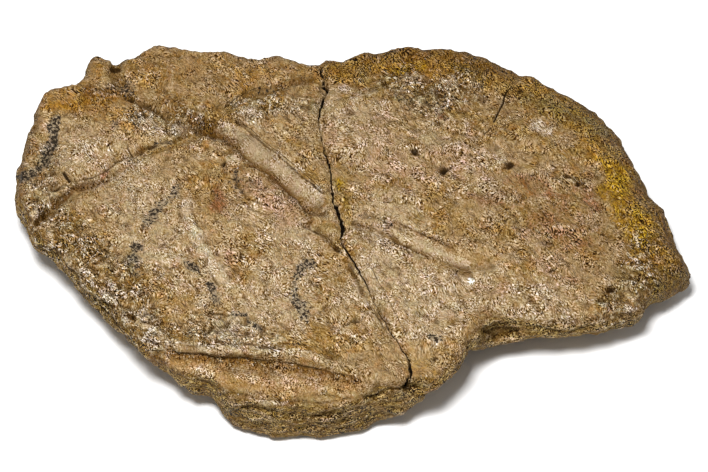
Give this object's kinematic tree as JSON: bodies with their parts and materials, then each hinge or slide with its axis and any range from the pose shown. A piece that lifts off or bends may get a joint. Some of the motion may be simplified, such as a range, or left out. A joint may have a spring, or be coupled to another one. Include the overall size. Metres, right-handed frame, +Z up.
{
  "type": "fossil dinosaur frill",
  "caption": "Broad flat slab of fossil frill bone with vessel grooves, a long crack, one smooth rounded margin and broken sides.",
  "frame": {"origin": "centre of the bounding box, on the plane of the flat underside that the fossil rests on", "axes": "+X along the longest extent, towards the smooth natural margin; +Y towards the back rim, away from the tall broken front wall; +Z up, out of the grooved face"},
  "size_m": [0.2058, 0.1402, 0.0237],
  "materials": {
    "fossil_bone": "fine-grained golden-brown petrified bone, satin with small glossy flecks, darker on the broken sides"
  },
  "bodies": {
    "root": {"frill": "fossil_bone"}
  },
  "joints": []
}
